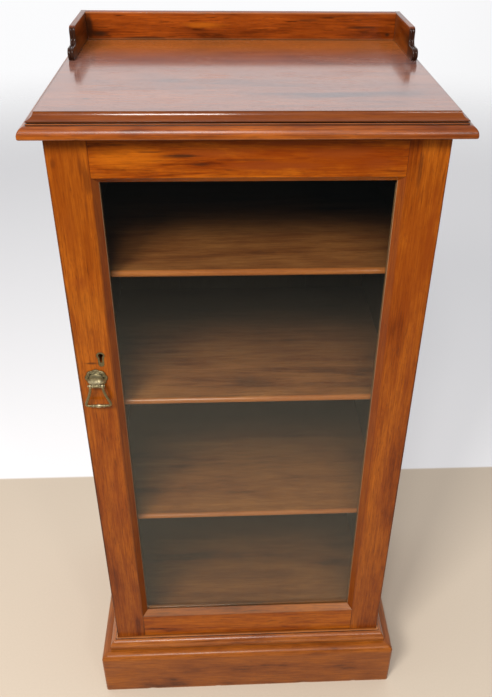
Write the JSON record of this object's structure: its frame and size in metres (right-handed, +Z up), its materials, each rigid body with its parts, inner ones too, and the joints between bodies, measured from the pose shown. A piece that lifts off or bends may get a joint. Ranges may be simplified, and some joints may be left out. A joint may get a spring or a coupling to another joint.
{
  "type": "sheet music cabinet",
  "caption": "Tall narrow wooden cupboard for sheet music: glazed door with a drop handle and lock, moulded plinth and cornice, shelves inside and a low gallery on top",
  "frame": {"origin": "on the floor under the centre of the overall width and depth", "axes": "+Z up, +Y into the cabinet from the door towards the back, +X to the right seen from the front"},
  "size_m": [0.56, 0.408, 1.1784],
  "materials": {
    "door_walnut": "french polished walnut, warm orange brown, glossy",
    "moulding_walnut": "french polished walnut, deeper brown, glossy",
    "gallery_walnut": "french polished walnut, dark red brown, glossy",
    "inner_walnut": "lightly polished walnut shelves, dull",
    "softwood": "bare old pine",
    "brass": "old cast brass, dull green gold",
    "steel": "plain steel lock case",
    "glass": "clear old sheet glass"
  },
  "bodies": {
    "carcass": {"side_left": "moulding_walnut", "side_right": "moulding_walnut", "plinth_front": "moulding_walnut", "plinth_left": "moulding_walnut", "plinth_right": "moulding_walnut", "plinth_bead_front": "moulding_walnut", "plinth_bead_left": "moulding_walnut", "plinth_bead_right": "moulding_walnut", "cornice_front": "moulding_walnut", "cornice_left": "moulding_walnut", "cornice_right": "moulding_walnut", "top_board": "moulding_walnut", "gallery_rail": "gallery_walnut", "gallery_end_left": "gallery_walnut", "gallery_end_right": "gallery_walnut", "bottom_board": "inner_walnut", "shelf_lower": "inner_walnut", "shelf_middle": "inner_walnut", "shelf_upper": "inner_walnut", "top_rail_front": "inner_walnut", "top_rail_back": "inner_walnut", "base_rail": "softwood", "plinth_packing_left": "softwood", "plinth_packing_right": "softwood", "glue_block_left": "softwood", "glue_block_centre": "softwood", "glue_block_right": "softwood", "back_board_1": "softwood", "back_board_2": "softwood", "back_board_3": "softwood", "back_board_4": "softwood", "strike_plate": "brass", "hinge_leaf_carcass_lower": "brass", "hinge_leaf_carcass_upper": "brass", "hinge_pin_lower": "brass", "hinge_pin_upper": "brass"},
    "door": {"door_stile_lock": "door_walnut", "door_stile_hinge": "door_walnut", "door_rail_top": "door_walnut", "door_rail_bottom": "door_walnut", "glazing_bead_left": "door_walnut", "glazing_bead_right": "door_walnut", "glazing_bead_bottom": "door_walnut", "glazing_bead_top": "door_walnut", "glass_pane": "glass", "escutcheon": "brass", "handle_backplate": "brass", "handle_pin": "brass", "hinge_leaf_door_lower": "brass", "hinge_leaf_door_upper": "brass", "lock_case": "steel"},
    "handle_bail": {"handle_bail": "brass"},
    "lock_bolt": {"lock_bolt": "brass"}
  },
  "joints": [
    {"name": "door_hinge", "type": "hinge", "parent": "carcass", "child": "door", "pos_m": [0.2532, -0.1537, 0.617], "axis": [0, 0, 1], "range_deg": [0, 180]},
    {"name": "bail_swing", "type": "hinge", "parent": "door", "child": "handle_bail", "pos_m": [-0.2235, -0.1835, 0.7381], "axis": [-1, 0, 0], "range_deg": [-8, 100]},
    {"name": "lock_bolt_slide", "type": "slide", "parent": "door", "child": "lock_bolt", "axis": [-1, 0, 0], "range_m": [0, 0.008]}
  ]
}
